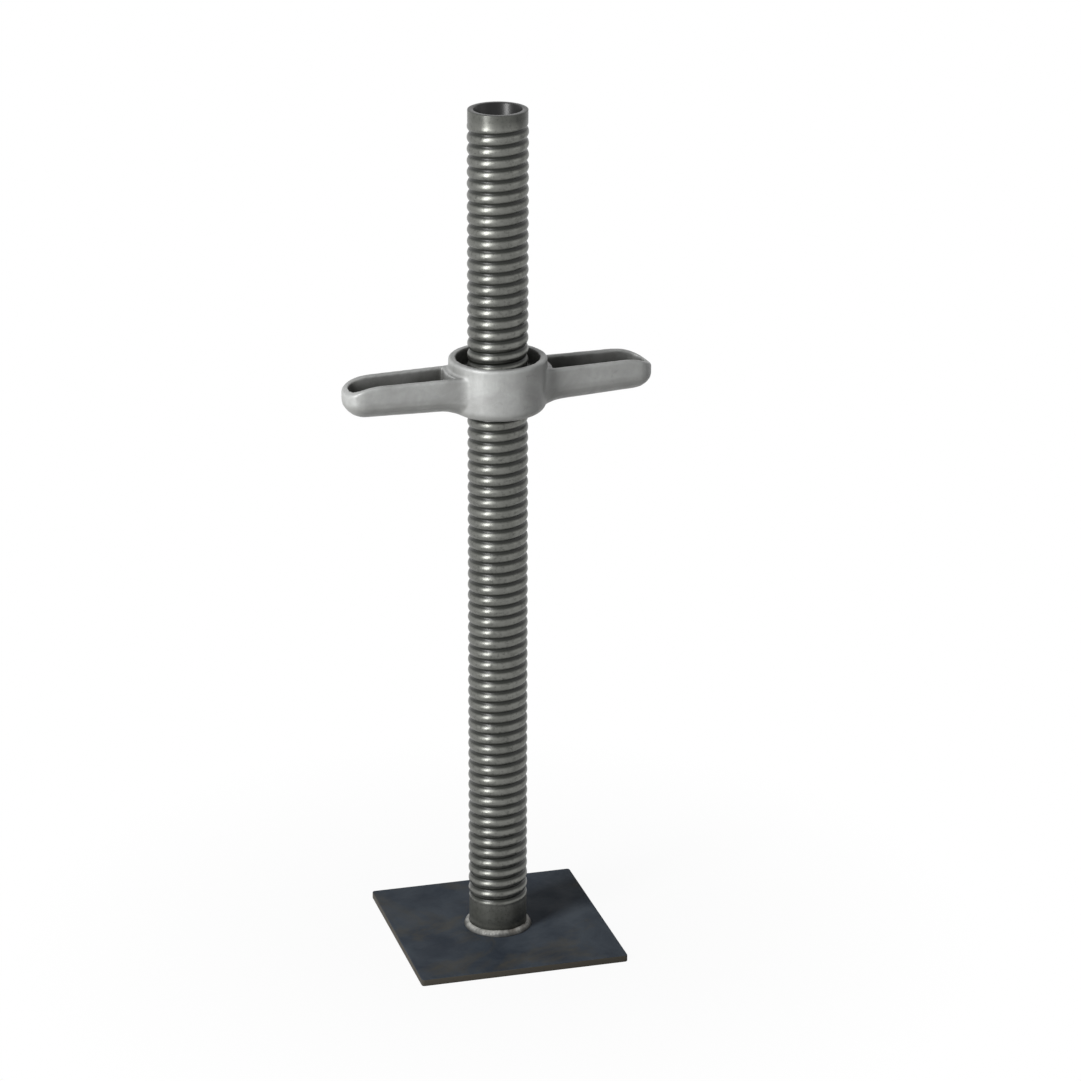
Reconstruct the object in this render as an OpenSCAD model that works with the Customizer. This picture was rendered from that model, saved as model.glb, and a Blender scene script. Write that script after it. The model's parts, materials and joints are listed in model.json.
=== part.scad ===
// Scaffold base jack: a hollow threaded stem welded upright on a square foot plate, with a
// cast wing nut that carries the scaffold tube and sets its height.
// Millimetres. +Z is up, the origin is the middle of the plate's underside, and the plate's
// sides lie along X and Y.

/* [Foot plate] */
// Side of the square plate
plate_w = 150; // [100:5:250]
// Thickness of the plate
plate_t = 5; // [3:1:12]
// Radius of the plate's sheared corners
plate_corner_r = 2; // [1:0.5:12]

/* [Stem] */
// Outside diameter of the plain tube that the stem is rolled from
stem_d = 41; // [36:0.5:44]
// Wall thickness of the tube
stem_wall = 4; // [3:0.25:6]
// Length of the stem from the plate's upper face to its open end
stem_len = 600; // [480:10:900]
// Plain length left at the foot of the stem
foot_plain = 22; // [12:1:40]
// Plain length left at the top of the stem
top_plain = 8; // [4:1:40]
// Bevel round the outside of the stem's open end
end_bevel = 0.5; // [0.25:0.25:1.5]

/* [Rolled thread] */
// Rise of the thread in one turn
thread_pitch = 8; // [6:0.5:12]
// Height that rolling raises the crest above the plain tube
crest_rise = 0.4; // [0.2:0.1:1]
// Depth of the groove below the plain tube
groove_depth = 1.2; // [0.8:0.1:2]
// Share of the pitch taken by the flat of the crest
crest_share = 0.3; // [0.2:0.05:0.4]
// Share of the pitch taken by the flat of the groove
groove_share = 0.26; // [0.2:0.02:0.4]

/* [Weld] */
// Leg of the fillet weld, up the stem and out over the plate
weld_leg = 4; // [3:0.5:7]

/* [Wing nut] */
// Height of the nut's underside above the ground
nut_z = 394; // [60:1:420]
// Turn of the wings about the stem, from the plate's X side
nut_turn = 4; // [0:1:90]
// Height of the hub from its underside to the cup's rim
hub_h = 38; // [34:1:60]
// Outside diameter of the hub at the cup's rim
hub_d = 68; // [65:0.5:80]
// Draft of the hub, from the rim down to the underside, on the radius
hub_draft = 0.5; // [0:0.25:3]
// Radius of the hub's lower edge
hub_edge_r = 7; // [3:0.5:9]
// Gap between the nut's bore and the thread's crest, all round
nut_clearance = 0.4; // [0.2:0.05:0.8]
// Diameter of the cup's mouth, where the scaffold tube goes in
cup_d = 58; // [54:0.5:59]
// Depth of the cup from its rim to the seat
cup_depth = 12; // [6:1:16]
// Lean of the cup's wall, inwards from its mouth to its seat
cup_lean = 1.5; // [0.5:0.5:3]

/* [Wings] */
// Distance between the tips of the two wings
wing_span = 221; // [180:1:300]
// Height of a wing
wing_h = 26.5; // [20:0.5:28]
// Height of the wings' underside above the hub's underside
wing_drop = 3.5; // [1:0.5:6]
// Width of a wing where it meets the hub
wing_root_w = 37; // [33:0.5:44]
// Width of a wing at its tip
wing_tip_w = 31; // [28:0.5:33]
// Fullness of a wing's tip seen from above, from 1 for a half round to squarer ones
tip_fullness = 1.3; // [1:0.1:1.5]
// Fall of a wing's rim to its tip
tip_fall = 7; // [0:0.5:8]
// Length of a wing over which its rim falls
fall_run = 22; // [18:1:26]
// Rise of a wing's underside between the stem's axis and its tip
wing_rise = 2.5; // [0:0.5:4]
// Radius of a wing's rounded lower edges
wing_belly_r = 13.5; // [8:0.5:14]
// Thickness of a wing's walls
wing_wall = 4.5; // [3:0.25:5.5]
// Thickness of a wing's floor
wing_floor = 5; // [3:0.5:8]
// Radius of the rounded bottom of a wing's hollow
pocket_r = 10; // [5:0.5:10]
// Radius of the blend between a wing and the hub
blend_r = 10; // [3:0.5:14]
// Metal between the hub's rim and the hub's end of a wing's hollow
root_wall = 3.5; // [1:0.5:8]

/* [Hidden] */
$fn = 96;
eps = 0.01;

// Stem and thread radii
stem_r = stem_d / 2;
bore_r = stem_r - stem_wall;
stem_top = plate_t + stem_len;
crest_r = stem_r + crest_rise;
groove_r = stem_r - groove_depth;

// The thread runs between the plain ends. Its first and last turn shrink to a low spiral step
// that is buried in the plain ends, so that the form closes inside solid metal.
thread_z0 = plate_t + foot_plain;
thread_z1 = stem_top - top_plain;
buried_h = 1.5;
buried_depth = 0.5;
buried_r = stem_r - 0.3;
end_turns = 1.5;
run_out = 0.6;
last_turn = 1 + (thread_z1 - thread_z0 + 2 * buried_depth) / thread_pitch;
step_budget = 1250;
turn_steps = min(16, floor(step_budget / (last_turn + 1)));
thread_steps = ceil(turn_steps * (last_turn + 0.3));
flank_share = (1 - crest_share - groove_share) / 2;

// Corners of the thread's form in one turn: [share of the pitch, radius]
thread_form = [
    [0, groove_r],
    [flank_share, crest_r],
    [flank_share + crest_share, crest_r],
    [2 * flank_share + crest_share, groove_r]
];
corners = len(thread_form);

// Wing nut
nut_bore_r = crest_r + nut_clearance;
hub_r = hub_d / 2;
hub_foot_r = hub_r - hub_draft;
cup_r = cup_d / 2;
cup_foot_r = cup_r - cup_lean;
seat_z = hub_h - cup_depth;
rim_round = 1;
bore_lead = 1.5;
seat_round = 1.5;
foot_face = 1;
edge_r = min(hub_edge_r, hub_foot_r - nut_bore_r - bore_lead - foot_face);

// Wings. Their rounded lower edges are limited by the half width that they turn in.
root_half = wing_root_w / 2;
tip_r = wing_tip_w / 2;
tip_centre = wing_span / 2 - tip_r;
belly_r = min(wing_belly_r, tip_r - 1);
hollow_r = min(pocket_r, tip_r - wing_wall - 1);
rim_bevel = 0.8;
belly_steps = 5;
tip_steps = 8;
flare_steps = 5;
buried = 4;
overrun = 1;
fall_marks = [0, 0.35];

// Angle at which a wing's side closes in, as the tangent from the hub's end to the tip's circle
taper = acos(tip_r / norm([root_half, tip_centre])) - atan(tip_centre / root_half);

// Along a wing its rim starts to fall here
fall_from = wing_span / 2 - fall_run;

// The blend's circle touches the hub and the tapered side of a wing
blend_off = root_half * cos(taper) + blend_r;
blend_along = sqrt(pow(hub_foot_r + blend_r, 2) - pow(blend_off, 2));
blend_centre = [
    blend_along * cos(taper) + blend_off * sin(taper),
    blend_off * cos(taper) - blend_along * sin(taper)
];
blend_from = 180 + atan(blend_centre[1] / blend_centre[0]);
blend_to = 270 - taper;

// Under the root the wing dips to the hub's underside, from here outwards
dip_from = hub_foot_r - edge_r / 2;
dip_run = edge_r / 2 + blend_r;
dip_marks = [0.4, 0.7, 1];

function clamp01(x) = max(0, min(1, x));
function ease(x) = let (c = clamp01(x)) c * c * (3 - 2 * c);

// Height of the thread's helix after a number of turns, low in the two buried turns
function helix_z(turn) =
    let (base = thread_z0 - buried_depth - buried_h)
    turn < 1 ? base + buried_h * turn :
    turn < last_turn ? base + buried_h + thread_pitch * (turn - 1) :
    thread_z1 + buried_depth + buried_h * (turn - last_turn);

// How far the thread is formed after a number of turns: 0 in the buried ends, 1 between them
function formed(turn) = ease((turn - 1) / run_out) * ease((last_turn - turn) / run_out);

// One corner of the thread's form at one step of the helix
function thread_point(step, corner) =
    let (
        turn = step / turn_steps + thread_form[corner][0],
        r = buried_r + (thread_form[corner][1] - buried_r) * formed(turn),
        a = 360 * step / turn_steps
    )
    [r * cos(a), r * sin(a), helix_z(turn)];

function thread_index(step, corner) = step * corners + corner;

// Faces between two neighbouring steps: the crest, its two flanks, and the groove that joins
// a turn to the next one
function ribbon_faces(step) = [
    for (c = [0 : corners - 2]) each quad_faces(
        thread_index(step, c), thread_index(step, c + 1),
        thread_index(step + 1, c + 1), thread_index(step + 1, c)
    )
];

function groove_faces(step) = quad_faces(
    thread_index(step, corners - 1), thread_index(step + turn_steps, 0),
    thread_index(step + turn_steps + 1, 0), thread_index(step + 1, corners - 1)
);

function quad_faces(a, b, c, d) = [[a, b, c], [a, c, d]];

// Edges of the spiral steps at the two ends, in order, as point numbers
function first_loop() = concat(
    [for (s = [0 : turn_steps]) thread_index(s, 0)],
    [for (c = [corners - 1 : -1 : 1]) thread_index(0, c)]
);

function last_loop() = concat(
    [for (c = [0 : corners - 1]) thread_index(thread_steps, c)],
    [for (s = [thread_steps - 1 : -1 : thread_steps - turn_steps]) thread_index(s, corners - 1)]
);

function fan_faces(loop, hub) = [
    for (i = [0 : len(loop) - 1]) [loop[i], loop[(i + 1) % len(loop)], hub]
];

// The rolled thread as one closed helix
module rolled_thread() {
    helix = [
        for (s = [0 : thread_steps]) for (c = [0 : corners - 1]) thread_point(s, c)
    ];
    low_hub = len(helix);
    points = concat(
        helix,
        [[0, 0, helix_z(0)], [0, 0, helix_z(last_turn + end_turns)]]
    );
    faces = concat(
        [for (s = [0 : thread_steps - 1]) each ribbon_faces(s)],
        [for (s = [0 : thread_steps - turn_steps - 1]) each groove_faces(s)],
        fan_faces(first_loop(), low_hub),
        fan_faces(last_loop(), low_hub + 1)
    );
    polyhedron(points = points, faces = faces, convexity = 10);
}

// Hollow stem: plain ends, rolled thread between them, and the tube's bore right through
module threaded_stem() {
    color([0.25, 0.26, 0.24]) difference() {
        union() {
            rolled_thread();
            translate([0, 0, plate_t]) cylinder(r = stem_r, h = foot_plain);
            translate([0, 0, thread_z1]) cylinder(r = stem_r, h = top_plain - end_bevel);
            translate([0, 0, stem_top - end_bevel])
                cylinder(r1 = stem_r, r2 = stem_r - end_bevel, h = end_bevel);
        }
        translate([0, 0, plate_t - 1]) cylinder(r = bore_r, h = stem_len + 2);
    }
}

// Square foot plate with small sheared corners
module base_plate() {
    reach = plate_w / 2 - plate_corner_r;
    color([0.2, 0.23, 0.26]) linear_extrude(height = plate_t) union() {
        square([plate_w, 2 * reach], center = true);
        square([2 * reach, plate_w], center = true);
        for (x = [-reach, reach], y = [-reach, reach]) translate([x, y]) circle(r = plate_corner_r);
    }
}

// Fillet weld all round the foot of the stem, a little fuller than a straight fillet
module weld_bead() {
    fullness = 0.18;
    color([0.55, 0.56, 0.55]) translate([0, 0, plate_t]) rotate_extrude() polygon(concat(
        [[stem_r, 0]],
        [
            for (i = [0 : 8])
                let (a = i / 8, out = weld_leg * (1 - a), bulge = fullness * weld_leg * sin(180 * a))
                [stem_r + out + bulge * cos(45), weld_leg * a + bulge * sin(45)]
        ]
    ));
}

// Outside of the hub as a turned form
module hub_body() {
    rotate_extrude() polygon(concat(
        [[0, 0], [hub_foot_r - edge_r, 0]],
        [
            for (i = [1 : 12]) let (a = -90 + i * 7.5)
                [hub_foot_r - edge_r + edge_r * cos(a), edge_r + edge_r * sin(a)]
        ],
        [[hub_r, hub_h - rim_round]],
        [[hub_r - rim_round, hub_h], [0, hub_h]]
    ));
}

// Cup for the scaffold tube, with its flat seat, and the bore that runs on the thread
module hub_hollow() {
    translate([0, 0, -1]) cylinder(r = nut_bore_r, h = hub_h);
    translate([0, 0, -eps]) cylinder(r1 = nut_bore_r + bore_lead, r2 = nut_bore_r, h = bore_lead);
    rotate_extrude() polygon(concat(
        [[0, seat_z], [cup_foot_r - seat_round, seat_z]],
        [
            for (i = [1 : 6]) let (a = -90 + i * 15)
                [cup_foot_r - seat_round + seat_round * cos(a), seat_z + seat_round + seat_round * sin(a)]
        ],
        [[cup_r, hub_h], [cup_r, hub_h + 1], [0, hub_h + 1]]
    ));
}

function polar(a) = [cos(a), sin(a)];

// Direction from the tip's centre to its outline, longer towards the corners of a full tip
function tip_turn(a) = [pow(cos(a), 1 / tip_fullness), pow(sin(a), 1 / tip_fullness)];

// Plan outline of one side of a wing, moved in by an inset: buried in the hub, round the
// blend, along the tapered side and round half of the tip
function plan_side(inset) = concat(
    [blend_centre + (blend_r + inset) * polar(blend_from) - [buried, 0]],
    [for (i = [0 : flare_steps])
        blend_centre + (blend_r + inset) * polar(blend_from + (blend_to - blend_from) * i / flare_steps)],
    [for (m = dip_marks)
        blend_centre + (blend_r + inset) * polar(blend_to) + m * dip_run * polar(-taper)],
    [for (m = fall_marks)
        let (u = fall_from + m * (tip_centre - fall_from))
        [u, side_at(u) - inset / cos(taper)]],
    [for (i = [0 : tip_steps])
        [tip_centre, 0] + (tip_r - inset) * tip_turn((90 - taper) * (1 - i / tip_steps))]
);

// Half width of a wing's plan at a distance from the stem's axis, along its tapered side
function side_at(u) = root_half - u * tan(taper);

// How far the underside of a wing is lifted at a distance from the stem's axis
function lift(u) = wing_rise * u / tip_centre - wing_drop * pow(1 - clamp01((u - dip_from) / dip_run), 2);

// How far the rim of a wing falls at a distance from the stem's axis
function fall(u) = tip_fall * pow(clamp01((u - fall_from) / fall_run), 2);

// One contour of a wing at a level: full lift at its underside, and full fall at its rim
function contour(inset, level) =
    let (
        side = plan_side(inset),
        last = len(side) - 1,
        plan = concat(side, [for (i = [last - 1 : -1 : 0]) [side[i][0], -side[i][1]]])
    )
    [for (q = plan)
        let (
            raised = lift(q[0]) * (1 - level / wing_h),
            fallen = fall(q[0]) * pow(min(1, level / wing_h), 2)
        )
        [q[0], q[1], level + raised - fallen]];

// Levels of a rounded lower edge as [inset, level], from its start on the side to the bottom
function rounded(inset, low, r) = [
    for (i = [0 : belly_steps]) let (a = 90 * i / belly_steps)
        [inset + r - r * cos(a), low + r - r * sin(a)]
];

// Faces that close a contour of n points across the wing
function cap_faces(n) = concat(
    [for (i = [0 : (n - 5) / 2]) each quad_faces(i, i + 1, n - 2 - i, n - 1 - i)],
    [[(n - 3) / 2, (n - 1) / 2, (n + 1) / 2]]
);

function flipped(faces, first) = [for (f = faces) [first + f[2], first + f[1], first + f[0]]];

// Loft through a wing's contours, from the top one to the bottom one
module wing_loft(levels) {
    rings = [for (k = levels) contour(k[0], k[1])];
    n = len(rings[0]);
    last = len(rings) - 1;
    polyhedron(
        points = [for (ring = rings) each ring],
        faces = concat(
            cap_faces(n),
            [for (k = [0 : last - 1], i = [0 : n - 1]) let (a = k * n + i, b = k * n + (i + 1) % n)
                each quad_faces(b, a, a + n, b + n)],
            flipped(cap_faces(n), last * n)
        ),
        convexity = 4
    );
}

// Outside of one wing along +X, like a boat that flares into the hub
module wing_outside() {
    wing_loft(concat(
        [[rim_bevel, wing_h], [0, wing_h - rim_bevel]],
        rounded(0, 0, belly_r)
    ));
}

// Hollow of a wing, open upwards and closed towards the hub by a thickening round the hub
module wing_pocket() {
    difference() {
        wing_loft(concat(
            [[wing_wall - rim_bevel - overrun, wing_h + overrun], [wing_wall, wing_h - rim_bevel]],
            rounded(wing_wall, wing_floor, hollow_r)
        ));
        translate([0, 0, -hub_h]) cylinder(r = hub_r + root_wall, h = 3 * hub_h);
    }
}

// Wing nut: one casting with a cupped hub and two hollow-topped wings
module wing_nut() {
    color([0.66, 0.67, 0.67]) translate([0, 0, nut_z]) rotate([0, 0, nut_turn]) difference() {
        union() {
            hub_body();
            for (turn = [0, 180]) rotate([0, 0, turn]) translate([0, 0, wing_drop]) wing_outside();
        }
        hub_hollow();
        for (turn = [0, 180]) rotate([0, 0, turn]) translate([0, 0, wing_drop]) wing_pocket();
    }
}

base_plate();
weld_bead();
threaded_stem();
wing_nut();
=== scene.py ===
"""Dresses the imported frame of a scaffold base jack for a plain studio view.

The jack is a hollow stem with a rolled thread, welded upright on a square foot plate, and a
cast wing nut that runs on the thread. Every length is in metres, in the frame's own axes: +Z
runs up along the stem, and X and Y run along the plate's sides.
"""

import json
import logging
import math
from dataclasses import dataclass, field
from enum import Enum

import bmesh
import bpy
import numpy as np
from mathutils import Matrix, Vector, noise

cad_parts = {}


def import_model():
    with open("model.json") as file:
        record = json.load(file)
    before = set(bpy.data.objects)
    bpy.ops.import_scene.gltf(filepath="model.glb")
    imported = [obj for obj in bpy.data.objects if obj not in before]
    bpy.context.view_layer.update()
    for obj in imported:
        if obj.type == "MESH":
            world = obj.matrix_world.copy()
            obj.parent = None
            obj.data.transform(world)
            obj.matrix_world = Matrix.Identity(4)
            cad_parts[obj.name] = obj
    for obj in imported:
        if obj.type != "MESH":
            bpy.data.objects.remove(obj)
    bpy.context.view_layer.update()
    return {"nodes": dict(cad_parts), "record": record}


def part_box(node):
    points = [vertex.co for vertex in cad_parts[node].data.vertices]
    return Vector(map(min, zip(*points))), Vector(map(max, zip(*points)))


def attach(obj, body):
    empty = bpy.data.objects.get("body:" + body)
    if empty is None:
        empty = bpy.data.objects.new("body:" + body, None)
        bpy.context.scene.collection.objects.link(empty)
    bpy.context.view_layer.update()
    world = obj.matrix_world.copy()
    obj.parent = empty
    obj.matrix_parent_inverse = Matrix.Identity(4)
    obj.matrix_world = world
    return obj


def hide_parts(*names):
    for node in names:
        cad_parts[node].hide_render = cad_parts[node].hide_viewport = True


LOG = logging.getLogger("base_jack")
MM = 0.001

Point = tuple[float, float, float]
Flat = tuple[float, float]
Span = tuple[float, float]
Colour = tuple[float, float, float]
Face = tuple[int, ...]
Object = bpy.types.Object
Material = bpy.types.Material
Socket = bpy.types.NodeSocket
Value = Socket | float
Shade = Socket | Colour

WHITE = (1.0, 1.0, 1.0, 1.0)
NONE_TO_ALL: Span = (0.0, 1.0)
CLOUD_BODY: Span = (0.3, 0.7)  # where most of a noise's values lie
MIX_FIRST, MIX_SECOND, MIX_RESULT = 6, 7, 2  # the numbers of a Mix node's colour sockets


class Slot(Enum):
    """The record's material slots, one for each kind of metal on the jack."""

    PLATE = "plate_steel"
    WELD = "weld_steel"
    STEM = "stem_steel"
    NUT = "cast_nut"


class Body(Enum):
    """The two rigid bodies of the jack."""

    JACK = "jack"
    NUT = "nut"


class Node(Enum):
    """The solids of the frame."""

    PLATE = "base_plate"
    WELD = "weld_bead"
    STEM = "threaded_stem"
    NUT = "wing_nut"


def placed(name: str, data: bpy.types.ID) -> Object:
    """Makes an object and links it to the scene.

    Args:
        name: The object's name.
        data: Its mesh, lamp or camera.

    Returns:
        The object.
    """
    made = bpy.data.objects.new(name, data)
    bpy.context.scene.collection.objects.link(made)
    return made


def smooth_step(value: float) -> float:
    """Eases a share from 0 to 1, flat at both ends.

    Args:
        value: The share, which is clamped to 0 and 1 first.

    Returns:
        The eased share.
    """
    share = min(1.0, max(0.0, value))
    return share * share * (3 - 2 * share)


def seen_share(tree: bpy.types.NodeTree) -> Socket:
    """Gives 1 for rays from the camera, a mirror or glass, and 0 for the light on the jack.

    Args:
        tree: The node tree to add it to.

    Returns:
        The share's socket.
    """
    rays = tree.nodes.new("ShaderNodeLightPath")
    share = rays.outputs["Is Camera Ray"]
    for name in ("Is Glossy Ray", "Is Transmission Ray"):
        wider = tree.nodes.new("ShaderNodeMath")
        wider.operation = "MAXIMUM"
        tree.links.new(share, wider.inputs[0])
        tree.links.new(rays.outputs[name], wider.inputs[1])
        share = wider.outputs[0]
    return share


@dataclass(frozen=True)
class Cloud:
    """A noise over a piece."""

    scale: float  # patches in a metre
    detail: float = 3.0  # finer layers
    rough: float = 0.5  # how strong the finer layers are
    warp: float = 0.0  # how far the noise is distorted


@dataclass(frozen=True)
class Patches:
    """Places where a finish changes, set by a noise."""

    cloud: Cloud
    edge: Span  # the noise's values over which a patch sets in
    most: float = 1.0  # how strong a patch gets


@dataclass(frozen=True)
class Relief:
    """A fine relief of a surface: its noise, and its depth in metres."""

    cloud: Cloud
    depth: float


@dataclass(frozen=True)
class Gloss:
    """How a surface's roughness varies: its noise, and the roughness where that is low and high."""

    cloud: Cloud
    rough: Span


@dataclass
class Graph:
    """The node tree of one metal while it is put together."""

    name: str
    material: Material = field(init=False)
    shader: bpy.types.ShaderNode = field(init=False)

    def __post_init__(self) -> None:
        """Makes the material with a lone Principled shader."""
        self.material = bpy.data.materials.new(self.name)
        self.material.use_nodes = True
        self.shader = self.material.node_tree.nodes["Principled BSDF"]

    def add(self, kind: str) -> bpy.types.ShaderNode:
        """Adds a node of a kind to the tree."""
        return self.material.node_tree.nodes.new(kind)

    def link(self, source: Value | tuple[float, ...], target: Socket) -> None:
        """Feeds a socket from another one, or sets its value.

        Args:
            source: The socket to link from, or the value.
            target: The socket that is fed.
        """
        if isinstance(source, bpy.types.NodeSocket):
            self.material.node_tree.links.new(source, target)
        else:
            target.default_value = source

    def place(self) -> Socket:
        """Gives the place on the piece, in metres."""
        return self.add("ShaderNodeTexCoord").outputs["Object"]

    def facing(self) -> Socket:
        """Gives the direction that the surface faces, in the piece's own axes."""
        return self.add("ShaderNodeTexCoord").outputs["Normal"]

    def split(self, vector: Socket) -> tuple[Socket, Socket, Socket]:
        """Splits a vector into its three parts.

        Args:
            vector: The vector to split.

        Returns:
            The X, Y and Z sockets.
        """
        node = self.add("ShaderNodeSeparateXYZ")
        self.link(vector, node.inputs[0])
        return node.outputs[0], node.outputs[1], node.outputs[2]

    def math(self, operation: str, first: Value, second: Value = 0.0) -> Socket:
        """Works out one sum from two values.

        Args:
            operation: The name of the sum, such as ADD.
            first: The first value.
            second: The second value, if the sum takes one.

        Returns:
            The result's socket.
        """
        node = self.add("ShaderNodeMath")
        node.operation = operation
        self.link(first, node.inputs[0])
        self.link(second, node.inputs[1])
        return node.outputs[0]

    def radius(self, place: Socket) -> Socket:
        """Gives the distance from the stem's axis.

        Args:
            place: The place on the piece.

        Returns:
            The distance's socket.
        """
        east, north, _ = self.split(place)
        squares = [self.math("MULTIPLY", part, part) for part in (east, north)]
        return self.math("SQRT", self.math("ADD", *squares))

    def cloud(self, place: Socket, cloud: Cloud) -> Socket:
        """Adds a noise over the piece.

        Args:
            place: The place on the piece.
            cloud: The noise's form.

        Returns:
            The noise's socket, from 0 to 1.
        """
        node = self.add("ShaderNodeTexNoise")
        self.link(place, node.inputs["Vector"])
        node.inputs["Scale"].default_value = cloud.scale
        node.inputs["Detail"].default_value = cloud.detail
        node.inputs["Roughness"].default_value = cloud.rough
        node.inputs["Distortion"].default_value = cloud.warp
        return node.outputs["Fac"]

    def cells(self, place: Socket, scale: float) -> Socket:
        """Adds a random value for each cell of a crystal pattern.

        Args:
            place: The place on the piece.
            scale: How many cells there are in a metre.

        Returns:
            The value's socket, from 0 to 1.
        """
        node = self.add("ShaderNodeTexVoronoi")
        self.link(place, node.inputs["Vector"])
        node.inputs["Scale"].default_value = scale
        return self.split(node.outputs["Color"])[0]

    def openness(self, reach: float) -> Socket:
        """Gives how open the surface is, which is low in hollows, where the casting's dirt and
        painted shade are laid.

        Args:
            reach: How far away other surfaces count, in metres.

        Returns:
            The openness' socket, from 0 to 1.
        """
        node = self.add("ShaderNodeAmbientOcclusion")
        node.inputs["Distance"].default_value = reach
        return node.outputs["AO"]

    def stretched(self, place: Socket, factors: Point) -> Socket:
        """Scales a place along its axes, so that a pattern runs along the piece.

        Args:
            place: The place on the piece.
            factors: The scale along each axis.

        Returns:
            The scaled place's socket.
        """
        node = self.add("ShaderNodeVectorMath")
        node.operation = "MULTIPLY"
        self.link(place, node.inputs[0])
        node.inputs[1].default_value = factors
        return node.outputs[0]

    def remap(self, value: Socket, source: Span, target: Span) -> Socket:
        """Maps a range of a value to another range, and clamps it there.

        Args:
            value: The value to map.
            source: The range that it is mapped from.
            target: The range that it is mapped to.

        Returns:
            The mapped value's socket.
        """
        node = self.add("ShaderNodeMapRange")
        self.link(value, node.inputs["Value"])
        ends = ("From Min", "From Max", "To Min", "To Max")
        for name, number in zip(ends, (*source, *target)):
            node.inputs[name].default_value = number
        return node.outputs["Result"]

    def patches(self, place: Socket, patches: Patches) -> Socket:
        """Gives how strong the patches are at each point.

        Args:
            place: The place on the piece.
            patches: The patches' form.

        Returns:
            The strength's socket.
        """
        return self.remap(self.cloud(place, patches.cloud), patches.edge, (0.0, patches.most))

    def gloss(self, place: Socket, gloss: Gloss) -> Socket:
        """Gives the roughness over the piece.

        Args:
            place: The place on the piece.
            gloss: How the roughness varies.

        Returns:
            The roughness' socket.
        """
        return self.remap(self.cloud(place, gloss.cloud), CLOUD_BODY, gloss.rough)

    def blend(self, share: Socket, first: Shade, second: Shade) -> Socket:
        """Mixes two colours.

        Args:
            share: How much of the second colour there is.
            first: The first colour.
            second: The second colour.

        Returns:
            The mixed colour's socket.
        """
        node = self.add("ShaderNodeMix")
        node.data_type = "RGBA"
        self.link(share, node.inputs["Factor"])
        for source, number in ((first, MIX_FIRST), (second, MIX_SECOND)):
            opaque = source if isinstance(source, bpy.types.NodeSocket) else (*source, 1.0)
            self.link(opaque, node.inputs[number])
        return node.outputs[MIX_RESULT]

    def relief(self, place: Socket, relief: Relief, under: Socket | None = None) -> Socket:
        """Turns a relief into a bumped normal.

        Args:
            place: The place on the piece.
            relief: The relief's form.
            under: A bumped normal that this one is laid on.

        Returns:
            The normal's socket.
        """
        height = self.cloud(place, relief.cloud)
        node = self.add("ShaderNodeBump")
        self.link(height, node.inputs["Height"])
        node.inputs["Distance"].default_value = relief.depth
        node.inputs["Strength"].default_value = 1.0
        if under is not None:
            self.link(under, node.inputs["Normal"])
        return node.outputs["Normal"]

    def finish(self, colour: Socket, rough: Socket, normal: Socket, metallic: Value) -> Material:
        """Feeds the shader and gives the finished material.

        Args:
            colour: The colour over the surface.
            rough: The roughness over the surface.
            normal: The bumped normal.
            metallic: How metallic the surface is.

        Returns:
            The material.
        """
        self.link(colour, self.shader.inputs["Base Color"])
        self.link(rough, self.shader.inputs["Roughness"])
        self.link(normal, self.shader.inputs["Normal"])
        self.link(metallic, self.shader.inputs["Metallic"])
        return self.material


@dataclass(frozen=True)
class MillScale:
    """Blue-black rolled plate with faint brown stains and bare, dull sheared edges."""

    dark: Colour = (0.028, 0.035, 0.046)
    pale: Colour = (0.056, 0.067, 0.081)
    stain: Colour = (0.070, 0.063, 0.048)
    sheared: Colour = (0.060, 0.055, 0.046)
    metallic: float = 0.0
    index: float = 1.12
    pale_patches: Patches = Patches(Cloud(28, 5, 0.6, 0.4), (0.35, 0.68))
    stain_patches: Patches = Patches(Cloud(16, 6, 0.65, 1.2), (0.5, 0.72), 0.85)
    sheared_flecks: Patches = Patches(Cloud(900, 3, 0.6), (0.62, 0.8), 0.5)
    edge_level: Span = (0.75, 0.35)  # how level a face is where an edge starts, and is bare
    gloss: Gloss = Gloss(Cloud(45, 5, 0.6), (0.45, 0.68))
    ripple: Relief = Relief(Cloud(260, 5, 0.6), 0.06 * MM)
    grain: Relief = Relief(Cloud(1500, 2), 0.02 * MM)

    def material(self) -> Material:
        """Builds the plate's material.

        Returns:
            The material.
        """
        graph = Graph("mill_scale")
        place = graph.place()
        colour = graph.blend(graph.patches(place, self.pale_patches), self.dark, self.pale)
        colour = graph.blend(graph.patches(place, self.stain_patches), colour, self.stain)
        colour = graph.blend(graph.patches(place, self.sheared_flecks), colour, self.sheared)
        level = graph.math("ABSOLUTE", graph.split(graph.facing())[2])
        edges = graph.remap(level, self.edge_level, NONE_TO_ALL)
        colour = graph.blend(edges, colour, self.sheared)
        graph.shader.inputs["IOR"].default_value = self.index
        normal = graph.relief(place, self.grain, graph.relief(place, self.ripple))
        return graph.finish(colour, graph.gloss(place, self.gloss), normal, self.metallic)


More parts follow.
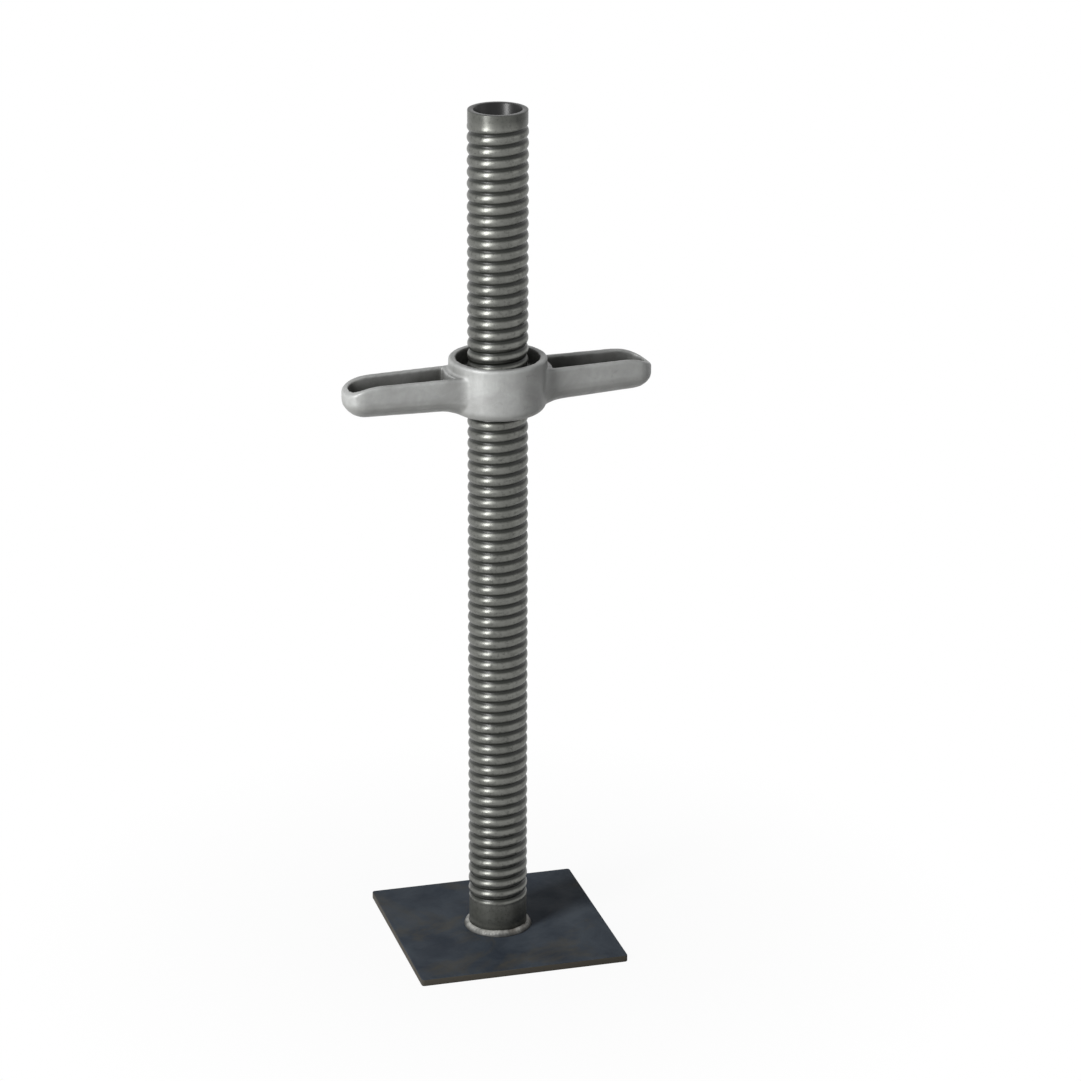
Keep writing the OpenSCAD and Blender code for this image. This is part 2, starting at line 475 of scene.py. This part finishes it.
@dataclass(frozen=True)
class RolledSteel:
    """Dark oiled tube, burnished on the crests, with painted shade in the grooves of the thread and
    down the bore.
    """

    groove_r: float
    crest_r: float
    rolled_from: float  # the height at which the thread starts
    rolled_to: float
    specks_and_groove_shade: Colour = (0.008, 0.009, 0.007)
    plain: Colour = (0.024, 0.026, 0.021)
    crest: Colour = (0.377, 0.38, 0.355)
    # near-black painted shade for the bore
    bore_shade: Colour = (0.003, 0.003, 0.003)
    index: float = 1.4
    rub: float = 0.42  # how much of the crests' colour shows where they are burnished
    bareness: float = 0.93  # how metallic the burnished steel is
    end_gloss: float = 0.55  # how far the plain ends are burnished
    fade: float = 4 * MM  # the height over which they take over from the thread
    plain_rise: Span = (0.0, 0.6)  # the shares of the thread's depth over which the grooves' painted shade ends
    worn_rise: Span = (0.35, 0.8)  # and over which the burnish sets in
    streaks: Cloud = Cloud(70, 5, 0.6, 0.3)
    streak_stretch: Point = (1, 1, 0.25)
    streak_body: Span = (0.3, 0.6)  # the streaks' values over which the burnish varies
    streak_wear: Span = (0.6, 1.0)  # the burnish at both ends of them
    streak_rough: Span = (0.28, 0.4)
    specks: Patches = Patches(Cloud(420, 4, 0.65), (0.52, 0.75), 0.55)
    bore_gap: Span = (0.5 * MM, 1.5 * MM)  # how far under the groove the bore's painted shade sets in
    bore_shade_most: float = 0.9
    grain: Relief = Relief(Cloud(700, 4, 0.6), 0.03 * MM)
    grain_stretch: Point = (1, 1, 3)

    def material(self) -> Material:
        """Builds the stem's material.

        Returns:
            The material.
        """
        graph = Graph("rolled_steel")
        place = graph.place()
        radius = graph.radius(place)
        rise = graph.remap(radius, (self.groove_r, self.crest_r), NONE_TO_ALL)
        streaks = graph.cloud(graph.stretched(place, self.streak_stretch), self.streaks)
        worn = self.worn(graph, place, rise, streaks)
        # painted shade: the lower part of each groove is darkened; the same dark colour marks the
        # random specks
        plain_share = graph.remap(rise, self.plain_rise, NONE_TO_ALL)
        low = graph.blend(plain_share, self.specks_and_groove_shade, self.plain)
        colour = graph.blend(graph.math("MULTIPLY", worn, self.rub), low, self.crest)
        colour = graph.blend(graph.patches(place, self.specks), colour, self.specks_and_groove_shade)
        # painted shade: the bore is darkened to near black
        upper, lower = (self.groove_r - gap for gap in self.bore_gap)
        bore = graph.remap(radius, (upper, lower), (0.0, self.bore_shade_most))
        colour = graph.blend(bore, colour, self.bore_shade)
        bare = graph.math("MULTIPLY", worn, self.bareness)
        graph.shader.inputs["IOR"].default_value = self.index
        rough = graph.remap(streaks, CLOUD_BODY, self.streak_rough)
        grain = graph.relief(graph.stretched(place, self.grain_stretch), self.grain)
        return graph.finish(colour, rough, grain, bare)

    def worn(self, graph: Graph, place: Socket, rise: Socket, streaks: Socket) -> Socket:
        """Gives how far the steel is burnished: most on the crests, less at the plain ends.

        Args:
            graph: The node tree to add it to.
            place: The place on the stem.
            rise: The share of the thread's depth, from groove to crest.
            streaks: The streaks along the stem.

        Returns:
            The share's socket.
        """
        crests = graph.remap(rise, self.worn_rise, NONE_TO_ALL)
        uneven = graph.remap(streaks, self.streak_body, self.streak_wear)
        height = graph.split(place)[2]
        foot = (self.rolled_from - self.fade, self.rolled_from)
        top = (self.rolled_to, self.rolled_to + self.fade)
        rolled = graph.math(
            "MULTIPLY",
            graph.remap(height, foot, (self.end_gloss, 1.0)),
            graph.remap(height, top, (1.0, self.end_gloss)),
        )
        return graph.math("MULTIPLY", graph.math("MULTIPLY", crests, uneven), rolled)


@dataclass(frozen=True)
class WeldMetal:
    """Bare weld bead, bright against the stem and dark with scale at its toe on the plate."""

    stem_r: float
    toe_r: float
    bright: Colour = (0.36, 0.36, 0.341)
    dull: Colour = (0.14, 0.14, 0.132)
    tint: Colour = (0.07, 0.05, 0.032)
    toe: Colour = (0.03, 0.031, 0.032)
    metallic: float = 0.2
    index: float = 1.2
    dull_patches: Patches = Patches(Cloud(160, 4, 0.6), (0.35, 0.65))
    tint_patches: Patches = Patches(Cloud(55), (0.55, 0.7), 0.8)
    toe_band: Span = (0.45, 0.85)  # the shares of the bead's width where the scale sets in
    toe_most: float = 0.85
    gloss: Gloss = Gloss(Cloud(300), (0.34, 0.55))
    grain: Relief = Relief(Cloud(900, 4), 0.04 * MM)

    def material(self) -> Material:
        """Builds the weld's material.

        Returns:
            The material.
        """
        graph = Graph("weld_metal")
        place = graph.place()
        colour = graph.blend(graph.patches(place, self.dull_patches), self.bright, self.dull)
        colour = graph.blend(graph.patches(place, self.tint_patches), colour, self.tint)
        width = self.toe_r - self.stem_r
        inner, outer = (self.stem_r + share * width for share in self.toe_band)
        scaled = graph.remap(graph.radius(place), (inner, outer), (0.0, self.toe_most))
        colour = graph.blend(scaled, colour, self.toe)
        graph.shader.inputs["IOR"].default_value = self.index
        grain = graph.relief(place, self.grain)
        return graph.finish(colour, graph.gloss(place, self.gloss), grain, self.metallic)


@dataclass(frozen=True)
class GalvanisedCasting:
    """Light grey zinc over a sand-cast skin, with dull stains, a faint grain of crystals, painted
    shade on its undersides, and dirt with painted shade in its hollows.
    """

    pale: Colour = (0.39, 0.397, 0.39)
    dull: Colour = (0.27, 0.273, 0.267)
    stain: Colour = (0.158, 0.158, 0.146)
    # the dark colour of the hollows: dirt, and painted shade
    hollow_dirt_and_shade: Colour = (0.035, 0.035, 0.03)
    metallic: float = 0.17
    dull_patches: Patches = Patches(Cloud(40, 5, 0.6, 0.5), (0.35, 0.68))
    crystals: float = 420  # crystals in a metre
    crystal_most: float = 0.22
    stain_patches: Patches = Patches(Cloud(90, 6, 0.7, 0.8), (0.6, 0.78), 0.6)
    under_shade_facing: Span = (0.1, -0.35)  # how far up a face looks where the painted underside shade sets in
    under_shade_most: float = 0.5
    # the hollows and the cup are darkened by openness: dirt plus painted shade
    dirt_and_shade_reach: float = 30 * MM
    dirt_and_shade_openness: Span = (0.85, 0.3)  # how open a face is where the dirt and painted shade start, and are thickest
    dirt_and_shade_most: float = 0.88
    gloss: Gloss = Gloss(Cloud(120, 4, 0.6), (0.36, 0.54))
    skin: Relief = Relief(Cloud(330, 5, 0.65), 0.18 * MM)
    grain: Relief = Relief(Cloud(1400), 0.05 * MM)

    def material(self) -> Material:
        """Builds the nut's material.

        Returns:
            The material.
        """
        graph = Graph("galvanised_casting")
        place = graph.place()
        colour = graph.blend(graph.patches(place, self.dull_patches), self.pale, self.dull)
        cells = graph.cells(place, self.crystals)
        crystals = graph.remap(cells, NONE_TO_ALL, (0.0, self.crystal_most))
        colour = graph.blend(crystals, colour, self.dull)
        colour = graph.blend(graph.patches(place, self.stain_patches), colour, self.stain)
        # painted shade: faces that look down are darkened with the stain colour
        upward = graph.split(graph.facing())[2]
        under = graph.remap(upward, self.under_shade_facing, (0.0, self.under_shade_most))
        colour = graph.blend(under, colour, self.stain)
        # painted shade, with dirt: the hollows and the cup get darker the more closed the surface
        # is
        openness = graph.openness(self.dirt_and_shade_reach)
        hollow_dirt_and_shade = graph.remap(openness, self.dirt_and_shade_openness, (0.0, self.dirt_and_shade_most))
        colour = graph.blend(hollow_dirt_and_shade, colour, self.hollow_dirt_and_shade)
        normal = graph.relief(place, self.grain, graph.relief(place, self.skin))
        return graph.finish(colour, graph.gloss(place, self.gloss), normal, self.metallic)


@dataclass(frozen=True)
class StudioPaper:
    """White paper under the jack, which keeps the jack's shadow."""

    colour: Colour = (0.47, 0.47, 0.47)
    near_lift: float = 0.95  # how far it is lifted to white beside the jack
    near: float = 0.1
    far: float = 0.35  # the radius from which it is all white

    def material(self) -> Material:
        """Builds the floor's material: matt paper, lifted to white away from the jack.

        Returns:
            The material.
        """
        graph = Graph("studio_paper")
        graph.shader.inputs["Base Color"].default_value = (*self.colour, 1.0)
        graph.shader.inputs["Roughness"].default_value = 1.0
        graph.shader.inputs["Specular IOR Level"].default_value = 0.0
        glow = graph.add("ShaderNodeEmission")
        glow.inputs["Color"].default_value = WHITE
        glow.inputs["Strength"].default_value = 1.0
        mixer = graph.add("ShaderNodeMixShader")
        reach = graph.radius(graph.place())
        lift = graph.remap(reach, (self.near, self.far), (self.near_lift, 1.0))
        seen = seen_share(graph.material.node_tree)
        graph.link(graph.math("MULTIPLY", seen, lift), mixer.inputs["Fac"])
        graph.link(graph.shader.outputs[0], mixer.inputs[1])
        graph.link(glow.outputs[0], mixer.inputs[2])
        output = graph.material.node_tree.nodes["Material Output"]
        graph.link(mixer.outputs[0], output.inputs["Surface"])
        return graph.material


@dataclass
class Shell:
    """Points and faces of a mesh that is being made."""

    points: list[Point] = field(default_factory=list)
    faces: list[Face] = field(default_factory=list)

    def loop(self, points: list[Point]) -> list[int]:
        """Adds a loop of points.

        Args:
            points: The points, in order.

        Returns:
            The new points' numbers.
        """
        first = len(self.points)
        self.points += points
        return list(range(first, len(self.points)))

    def ring(self, radius: float, height: float, count: int) -> list[int]:
        """Adds a level ring of points round the stem's axis.

        Args:
            radius: The ring's radius.
            height: The ring's height.
            count: How many points it has.

        Returns:
            The new points' numbers, counted anticlockwise from above.
        """
        angles = [2 * math.pi * step / count for step in range(count)]
        return self.loop([(radius * math.cos(a), radius * math.sin(a), height) for a in angles])

    def skirt(self, lower: list[int], upper: list[int]) -> None:
        """Joins two loops of equal count with faces that look away from the axis.

        Args:
            lower: The loop that comes first along the outside.
            upper: The loop that comes next.
        """
        count = len(lower)
        for step in range(count):
            after = (step + 1) % count
            self.faces.append((lower[step], lower[after], upper[after], upper[step]))

    def object(self, name: str) -> Object:
        """Makes a smooth-shaded object of the mesh.

        Args:
            name: The object's name.

        Returns:
            The new object, linked to the scene.
        """
        mesh = bpy.data.meshes.new(name)
        mesh.from_pydata(self.points, [], self.faces)
        mesh.validate()
        mesh.polygons.foreach_set("use_smooth", [True] * len(mesh.polygons))
        return placed(name, mesh)


def give_finish(piece: Object, material: Material, body: Body, node: Node) -> Object:
    """Gives a piece its finish and its place in the frame.

    Args:
        piece: The piece.
        material: Its finish.
        body: The body that the piece moves with.
        node: The solid that the piece stands for.

    Returns:
        The piece.
    """
    piece.data.materials.clear()
    piece.data.materials.append(material)
    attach(piece, body.value)
    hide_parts(node.value)
    return piece


@dataclass
class FootPlate:
    """Square foot plate, sheared from sheet, with slightly rolled upper and lower edges."""

    low: Vector
    high: Vector
    corner_r: float = 2 * MM
    least_r: float = 0.2 * MM  # the radius that a corner keeps when it is moved in
    edge_r: float = 0.5 * MM
    corner_steps: int = 5  # faces round a corner
    edge_steps: int = 3  # faces over an edge

    def outline(self, inset: float) -> list[Flat]:
        """Gives the plate's outline, moved in by an inset, anticlockwise.

        Args:
            inset: How far the outline is moved in.

        Returns:
            The outline's points.
        """
        half = self.high.x - self.corner_r
        radius = max(self.corner_r - inset, self.least_r)
        reach = half + self.corner_r - inset - radius
        points = []
        for corner, (east, north) in enumerate(((1, 1), (-1, 1), (-1, -1), (1, -1))):
            for step in range(self.corner_steps + 1):
                angle = math.pi / 2 * (corner + step / self.corner_steps)
                x = east * reach + radius * math.cos(angle)
                y = north * reach + radius * math.sin(angle)
                points.append((x, y))
        return points

    def levels(self) -> list[Flat]:
        """Gives the plate's contours, from the underside to the upper face.

        Returns:
            The inset and the height of each contour.
        """
        quarter = [math.pi / 2 * step / self.edge_steps for step in range(self.edge_steps + 1)]
        edge, low, high = self.edge_r, self.low.z, self.high.z
        lower = [(edge * (1 - math.sin(a)), low + edge * (1 - math.cos(a))) for a in quarter]
        upper = [(edge * (1 - math.cos(a)), high - edge * (1 - math.sin(a))) for a in quarter]
        return lower + upper

    def build(self) -> Object:
        """Builds the plate as stacked contours, closed above and below.

        Returns:
            The plate.
        """
        shell = Shell()
        rings = []
        for inset, height in self.levels():
            rings.append(shell.loop([(x, y, height) for x, y in self.outline(inset)]))
        for lower, upper in zip(rings, rings[1:]):
            shell.skirt(lower, upper)
        shell.faces.append(tuple(reversed(rings[0])))
        shell.faces.append(tuple(rings[-1]))
        piece = shell.object("foot_plate")
        for polygon in piece.data.polygons:
            polygon.use_smooth = len(polygon.vertices) == 4  # the two large faces stay flat
        return piece

    def dress(self) -> Object:
        """Gives the plate in its mill scale."""
        steel = MillScale().material()
        return give_finish(self.build(), steel, Body.JACK, Node.PLATE)


@dataclass
class RolledStem:
    """Hollow stem with its rolled thread as one fine helical sheet."""

    low: Vector
    high: Vector
    plain_r: float  # the radius of the plain ends
    wall: float = 4 * MM
    pitch: float = 8 * MM
    groove_depth: float = 1.2 * MM  # under the plain ends
    foot_plain: float = 22 * MM  # the length of the plain foot
    top_plain: float = 8 * MM
    lead_back: float = 0.5 * MM  # how far the thread's sheet reaches into the plain ends
    fade: float = 4.8 * MM  # the height over which the thread fades out
    bevel: float = 0.5 * MM
    outer_bend: float = 0.3  # where the open end's outer bevel bends, as a share of it
    inner_bevel: float = 0.6  # the inner bevel, as a share of the outer one
    foot_margin: float = 1 * MM  # the height between the sheet and the ring under it
    top_margin: float = 0.05 * MM  # the height between the bevel and the ring under it
    ridge_share: float = 0.9  # the share of the pitch that a rounded ridge takes
    ridge_rows: int = 12  # faces over a ridge
    columns: int = 80  # faces in a turn

    @property
    def crest_r(self) -> float:
        """Radius of the thread's crest."""
        return self.high.x

    @property
    def groove_r(self) -> float:
        """Radius of the thread's groove."""
        return self.plain_r - self.groove_depth

    @property
    def bore_r(self) -> float:
        """Radius of the stem's bore."""
        return self.plain_r - self.wall

    @property
    def thread_low(self) -> float:
        """Height at which the thread starts."""
        return self.low.z + self.foot_plain

    @property
    def thread_high(self) -> float:
        """Height at which the thread ends."""
        return self.high.z - self.top_plain

    def phases(self) -> list[float]:
        """Gives the shares of a turn at which the sheet has a row of points."""
        ridge = [self.ridge_share * step / self.ridge_rows for step in range(self.ridge_rows + 1)]
        return ridge + [(1 + self.ridge_share) / 2]

    def form(self, phase: float) -> float:
        """Gives the radius of the thread's form.

        Args:
            phase: The share of a turn, from 0 at the foot of the rising flank.

        Returns:
            The radius.
        """
        off_middle = 2 * (phase % 1.0) / self.ridge_share - 1
        rounded = max(0.0, 1.0 - off_middle * off_middle)
        return self.groove_r + (self.crest_r - self.groove_r) * rounded

    def surface_r(self, height: float, phase: float) -> float:
        """Gives the outside radius, with the thread fading out into the plain ends.

        Args:
            height: The height of the point.
            phase: The share of a turn.

        Returns:
            The radius.
        """
        rising = smooth_step((height - self.thread_low) / self.fade)
        falling = smooth_step((self.thread_high - height) / self.fade)
        return self.plain_r + (self.form(phase) - self.plain_r) * (rising * falling)

    def turns(self) -> list[float]:
        """Gives the height of each row at angle 0.

        Returns:
            The heights, counted in turns from the thread's start.
        """
        last = (self.thread_high - self.thread_low + self.lead_back) / self.pitch
        rows = [k + phase for k in range(-1, math.ceil(last)) for phase in self.phases()]
        return [row for row in rows if row <= last]

    def row_points(self, row: float) -> list[Point]:
        """Gives one row of the sheet, which climbs by a pitch in a turn.

        Args:
            row: The row's height at angle 0, in turns.

        Returns:
            The row's points, round the stem.
        """
        start = self.thread_low - self.lead_back
        points = []
        for column in range(self.columns):
            share = column / self.columns
            height = start + self.pitch * (row + share)
            radius = self.surface_r(height, row)
            angle = 2 * math.pi * share
            points.append((radius * math.cos(angle), radius * math.sin(angle), height))
        return points

    def sheet(self, shell: Shell) -> tuple[list[list[int]], int]:
        """Adds the helical sheet, whose rows follow the thread.

        Args:
            shell: The mesh to add it to.

        Returns:
            The points' numbers by row and column, and the number of rows in a turn.
        """
        per_turn = len(self.phases())
        grid = [shell.loop(self.row_points(row)) for row in self.turns()]
        for low, high in zip(grid, grid[1:]):
            for column in range(self.columns - 1):
                after = column + 1
                shell.faces.append((low[column], low[after], high[after], high[column]))
        for row in range(len(grid) - per_turn - 1):
            above = row + per_turn
            seam = (grid[row][-1], grid[above][0], grid[above + 1][0], grid[row + 1][-1])
            shell.faces.append(seam)
        return grid, per_turn

    def collars(self, shell: Shell) -> tuple[list[int], list[int]]:
        """Adds the rings that the sheet's lowest and highest rows are joined to.

        Args:
            shell: The mesh to add them to.

        Returns:
            The ring under the sheet and the ring over it.
        """
        under = self.thread_low - self.lead_back - self.pitch - self.foot_margin
        over = self.high.z - self.bevel - self.top_margin
        foot = shell.ring(self.plain_r, under, self.columns)
        collar = shell.ring(self.plain_r, over, self.columns)
        return foot, collar

    def join(
        self, shell: Shell, grid: list[list[int]], per_turn: int, foot: list[int], collar: list[int]
    ) -> None:
        """Joins the sheet to the rings under and over it.

        Args:
            shell: The mesh that holds them.
            grid: The sheet's points by row and column.
            per_turn: How many of its rows make a turn.
            foot: The ring under the sheet.
            collar: The ring over it.
        """
        first, last = grid[0], grid[-1]
        for column in range(self.columns - 1):
            after = column + 1
            shell.faces.append((foot[column], foot[after], first[after], first[column]))
            shell.faces.append((last[column], last[after], collar[after], collar[column]))
        lower_seam = [grid[row][0] for row in range(per_turn + 1)]
        shell.faces.append((foot[-1], foot[0], *lower_seam, first[-1]))
        upper_seam = [grid[-1 - row][-1] for row in range(per_turn + 1)]
        shell.faces.append((*upper_seam, last[0], collar[0], collar[-1]))

    def rim(self) -> list[Flat]:
        """Gives the stem's contour from the open end's bevel, down the bore and out at the foot.

        Returns:
            The radius and height of each of its rings.
        """
        top = self.high.z
        outer = self.bevel * self.outer_bend
        inner = self.bevel * self.inner_bevel
        return [
            (self.plain_r, top - self.bevel),
            (self.plain_r - outer, top - outer),
            (self.plain_r - self.bevel, top),
            (self.bore_r + inner, top),
            (self.bore_r, top - inner),
            (self.bore_r, self.low.z),
            (self.plain_r, self.low.z),
        ]

    def build(self) -> Object:
        """Builds the stem: sheet, plain ends, bevelled open end and bore.

        Returns:
            The stem.
        """
        shell = Shell()
        grid, per_turn = self.sheet(shell)
        foot, collar = self.collars(shell)
        self.join(shell, grid, per_turn, foot, collar)
        rim = [shell.ring(radius, height, self.columns) for radius, height in self.rim()]
        rings = [collar, *rim, foot]
        for lower, upper in zip(rings, rings[1:]):
            shell.skirt(lower, upper)
        return shell.object("rolled_stem")

    def dress(self) -> Object:
        """Gives the stem in its rolled steel."""
        steel = RolledSteel(self.groove_r, self.crest_r, self.thread_low, self.thread_high)
        return give_finish(self.build(), steel.material(), Body.JACK, Node.STEM)


@dataclass(frozen=True)
class Wave:
    """One wave of a hand-laid bead: how quick it is round the stem, and how far it goes."""

    quick: float
    far: float


@dataclass
class WeldBead:
    """Fillet weld laid by hand round the foot of the stem, with its overlapping ripples."""

    stem_r: float
    plate_top: float
    leg: float = 4 * MM
    trim: float = 0.3 * MM  # how much shorter it is laid, to leave room for its wander
    waves: tuple[Wave, ...] = (Wave(2.3, 0.35 * MM), Wave(7.0, 0.15 * MM))
    belly: float = 0.16  # how full it is, as a share of its leg
    wander_fill: float = 0.6  # how much of the wander the belly follows
    ripples: int = 58  # ripples round the stem
    ripple_height: float = 0.22 * MM
    ripple_fall: float = 1.5  # how sharply a ripple falls, as a power
    curl: float = 0.9  # how far the ripples curl, in ripples
    root: float = 0.1 * MM  # how far the root lies behind the stem's face and over the plate
    columns: int = 464  # faces round the bead
    rows: int = 9  # faces over it

    def wander(self, angle: float) -> float:
        """Gives how far the bead wanders at an angle round the stem.

        Args:
            angle: The angle.

        Returns:
            The distance.
        """
        around = Vector((math.cos(angle), math.sin(angle), 0.0))
        return sum(noise.noise(around * wave.quick) * wave.far for wave in self.waves)

    def point(self, angle: float, share: float) -> Point:
        """Gives a point on the bead.

        Args:
            angle: The angle round the stem.
            share: How far up the bead it is, from the plate to the stem.

        Returns:
            The point.
        """
        wander = self.wander(angle)
        curl = self.curl * (1 - (2 * share - 1) ** 2)
        ripple = (self.ripples * angle / (2 * math.pi) + curl) % 1.0
        raised = self.ripple_height * (1 - ripple) ** self.ripple_fall
        full = self.belly * self.leg + wander * self.wander_fill + raised
        swell = full * math.sin(math.pi * share) * math.cos(math.pi / 4)
        leg = self.leg + wander - self.trim
        radius = self.stem_r + leg * (1 - share) + swell
        height = self.plate_top + leg * share + swell
        return (radius * math.cos(angle), radius * math.sin(angle), height)

    def build(self) -> Object:
        """Builds the bead as a closed ring, with its root against the stem and the plate.

        Returns:
            The bead.
        """
        shell = Shell()
        angles = [2 * math.pi * step / self.columns for step in range(self.columns)]
        shares = [row / self.rows for row in range(self.rows + 1)]
        rings = [shell.loop([self.point(angle, share) for angle in angles]) for share in shares]
        rings.append(shell.ring(self.stem_r - self.root, self.plate_top + self.root, self.columns))
        for lower, upper in zip(rings, rings[1:] + rings[:1]):
            shell.skirt(lower, upper)
        return shell.object("weld_ring")

    def dress(self) -> Object:
        """Gives the bead in its bare weld metal."""
        metal = WeldMetal(self.stem_r, self.stem_r + self.leg)
        return give_finish(self.build(), metal.material(), Body.JACK, Node.WELD)


@dataclass
class WingNut:
    """Cast wing nut: the frame's solid with the soft edges and uneven skin of a sand casting."""

    solid: Object
    seam_gap: float = 0.001 * MM  # how far apart the points of a split edge may be
    voxel: float = 0.8 * MM
    soft_factor: float = 0.5
    soft_rounds: int = 5
    skin_depth: float = 0.12 * MM
    skin_scale: float = 130.0  # hollows in a metre

    def copied(self) -> Object:
        """Copies the solid and joins its split edges.

        Returns:
            The copy.
        """
        mesh = self.solid.data.copy()
        work = bmesh.new()
        work.from_mesh(mesh)
        bmesh.ops.remove_doubles(work, verts=work.verts, dist=self.seam_gap)
        work.to_mesh(mesh)
        work.free()
        return placed("cast_wing_nut", mesh)

    def build(self) -> Object:
        """Builds the casting: an even mesh of the solid, softened and slightly uneven.

        Returns:
            The casting.
        """
        piece = self.copied()
        even = piece.modifiers.new("even", "REMESH")
        even.mode = "VOXEL"
        even.voxel_size = self.voxel
        soften = piece.modifiers.new("soften", "SMOOTH")
        soften.factor = self.soft_factor
        soften.iterations = self.soft_rounds
        depsgraph = bpy.context.evaluated_depsgraph_get()
        mesh = bpy.data.meshes.new_from_object(piece.evaluated_get(depsgraph))
        piece.modifiers.clear()
        piece.data = mesh
        self.roughen(mesh)
        mesh.polygons.foreach_set("use_smooth", [True] * len(mesh.polygons))
        return piece

    def roughen(self, mesh: bpy.types.Mesh) -> None:
        """Sinks the surface here and there, as a sand mould leaves it.

        Args:
            mesh: The casting's mesh.
        """
        places = np.zeros(len(mesh.vertices) * 3, np.float32)
        outward = np.zeros_like(places)
        mesh.vertices.foreach_get("co", places)
        mesh.vertices.foreach_get("normal", outward)
        places, outward = places.reshape(-1, 3), outward.reshape(-1, 3)
        sag = np.array([noise.noise(Vector(place) * self.skin_scale) for place in places])
        places += outward * ((sag - 1.0) * self.skin_depth / 2)[:, None]
        mesh.vertices.foreach_set("co", places.ravel())
        mesh.update()

    def dress(self) -> Object:
        """Gives the nut in its zinc."""
        zinc = GalvanisedCasting().material()
        return give_finish(self.build(), zinc, Body.NUT, Node.NUT)


@dataclass(frozen=True)
class Softbox:
    """One soft lamp: where it hangs, its sides in metres and its power in watts."""

    name: str
    azimuth: float
    elevation: float
    distance: float
    width: float
    height: float
    power: float


@dataclass
class Studio:
    """Plain pale floor, soft lamps and the camera, with every angle in degrees."""

    target: Vector = field(default_factory=lambda: Vector((0.0, 0.0, 0.3)))
    distance: float = 2.761938
    azimuth: float = -15.19
    elevation: float = 20.325
    pitch: float = 20.364  # how far the camera looks down
    lens: float = 132.68  # in millimetres, like the sensor's width
    sensor: float = 36.0
    shift: float = 0.0395  # how far its picture is moved sideways, as a share of the width
    clip: Span = (0.05, 50.0)
    lamps: tuple[Softbox, ...] = (
        Softbox("key", -60.0, 20.5, 1.7, 0.42, 1.85, 45.0),
        Softbox("fill", 60.0, 25.0, 2.4, 1.2, 1.2, 1.8),
    )
    ambient: float = 0.16  # the strength of the light from all round
    floor_reach: float = 12.0

    def direction(self, azimuth: float, elevation: float) -> Vector:
        """Gives the direction from the jack to a place in the studio.

        Args:
            azimuth: The place's azimuth, 0 in front of the jack.
            elevation: Its elevation.

        Returns:
            The unit vector.
        """
        turn, rise = math.radians(azimuth), math.radians(elevation)
        level = math.cos(rise)
        return Vector((math.sin(turn) * level, -math.cos(turn) * level, math.sin(rise)))

    def camera(self) -> None:
        """Sets up the camera."""
        data = bpy.data.cameras.new("camera")
        data.sensor_width = self.sensor
        data.lens = self.lens
        data.shift_x = self.shift
        data.clip_start, data.clip_end = self.clip
        camera = placed("camera", data)
        ahead = -self.direction(self.azimuth, self.pitch)
        turn = math.radians(self.azimuth)
        right = Vector((math.cos(turn), math.sin(turn), 0.0))
        up = right.cross(ahead)
        place = Matrix((right, up, -ahead)).transposed().to_4x4()
        back = self.direction(self.azimuth, self.elevation)
        place.translation = self.target + back * self.distance
        camera.matrix_world = place
        bpy.context.scene.camera = camera

    def hang(self, lamp: Softbox) -> None:
        """Hangs a softbox that looks at the jack.

        Args:
            lamp: The softbox.
        """
        data = bpy.data.lights.new(lamp.name, "AREA")
        data.shape = "RECTANGLE"
        data.size = lamp.width
        data.size_y = lamp.height
        data.energy = lamp.power
        hung = placed(lamp.name, data)
        back = self.direction(lamp.azimuth, lamp.elevation)
        hung.location = self.target + back * lamp.distance
        hung.rotation_euler = back.to_track_quat("Z", "Y").to_euler()

    def world(self) -> None:
        """Lights the studio evenly, and shows white where it is seen or mirrored."""
        world = bpy.data.worlds.new("studio")
        bpy.context.scene.world = world
        world.use_nodes = True
        tree = world.node_tree
        dim = tree.nodes["Background"]
        white = tree.nodes.new("ShaderNodeBackground")
        for light, strength in ((dim, self.ambient), (white, 1.0)):
            light.inputs["Color"].default_value = WHITE
            light.inputs["Strength"].default_value = strength
        mixer = tree.nodes.new("ShaderNodeMixShader")
        tree.links.new(seen_share(tree), mixer.inputs["Fac"])
        tree.links.new(dim.outputs[0], mixer.inputs[1])
        tree.links.new(white.outputs[0], mixer.inputs[2])
        tree.links.new(mixer.outputs[0], tree.nodes["World Output"].inputs["Surface"])

    def floor(self, height: float) -> None:
        """Lays the paper.

        Args:
            height: The height of the jack's underside.
        """
        sides = ((-1, -1), (1, -1), (1, 1), (-1, 1))
        reach = self.floor_reach
        shell = Shell()
        shell.faces.append(tuple(shell.loop([(x * reach, y * reach, height) for x, y in sides])))
        paper = shell.object("floor")
        paper.data.materials.append(StudioPaper().material())

    def build(self, height: float) -> None:
        """Builds the whole studio.

        Args:
            height: The height of the jack's underside.
        """
        bpy.context.scene.view_settings.view_transform = "Standard"
        self.camera()
        self.world()
        for lamp in self.lamps:
            self.hang(lamp)
        self.floor(height)


def stem_radius(record: dict) -> float:
    """Reads the stem's plain radius from its mount.

    Args:
        record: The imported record.

    Returns:
        The radius in metres.
    """
    top = next(mount for mount in record["mounts"] if mount["name"] == "stem_top")
    return top["dims"]["r_mm"] * MM


def main() -> None:
    """Builds the jack's pieces in order, reports each one, and builds the studio."""
    logging.basicConfig(level=logging.INFO, format="%(name)s %(message)s")
    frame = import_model()
    plain_r = stem_radius(frame["record"])

    plate = FootPlate(*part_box(Node.PLATE.value))
    stem = RolledStem(*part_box(Node.STEM.value), plain_r)
    weld = WeldBead(plain_r, plate.high.z)
    nut = WingNut(frame["nodes"][Node.NUT.value])
    for part in (plate, stem, weld, nut):
        piece = part.dress()
        LOG.info("%s: %d faces", piece.name, len(piece.data.polygons))

    Studio().build(plate.low.z)


if __name__ == "__main__":
    main()
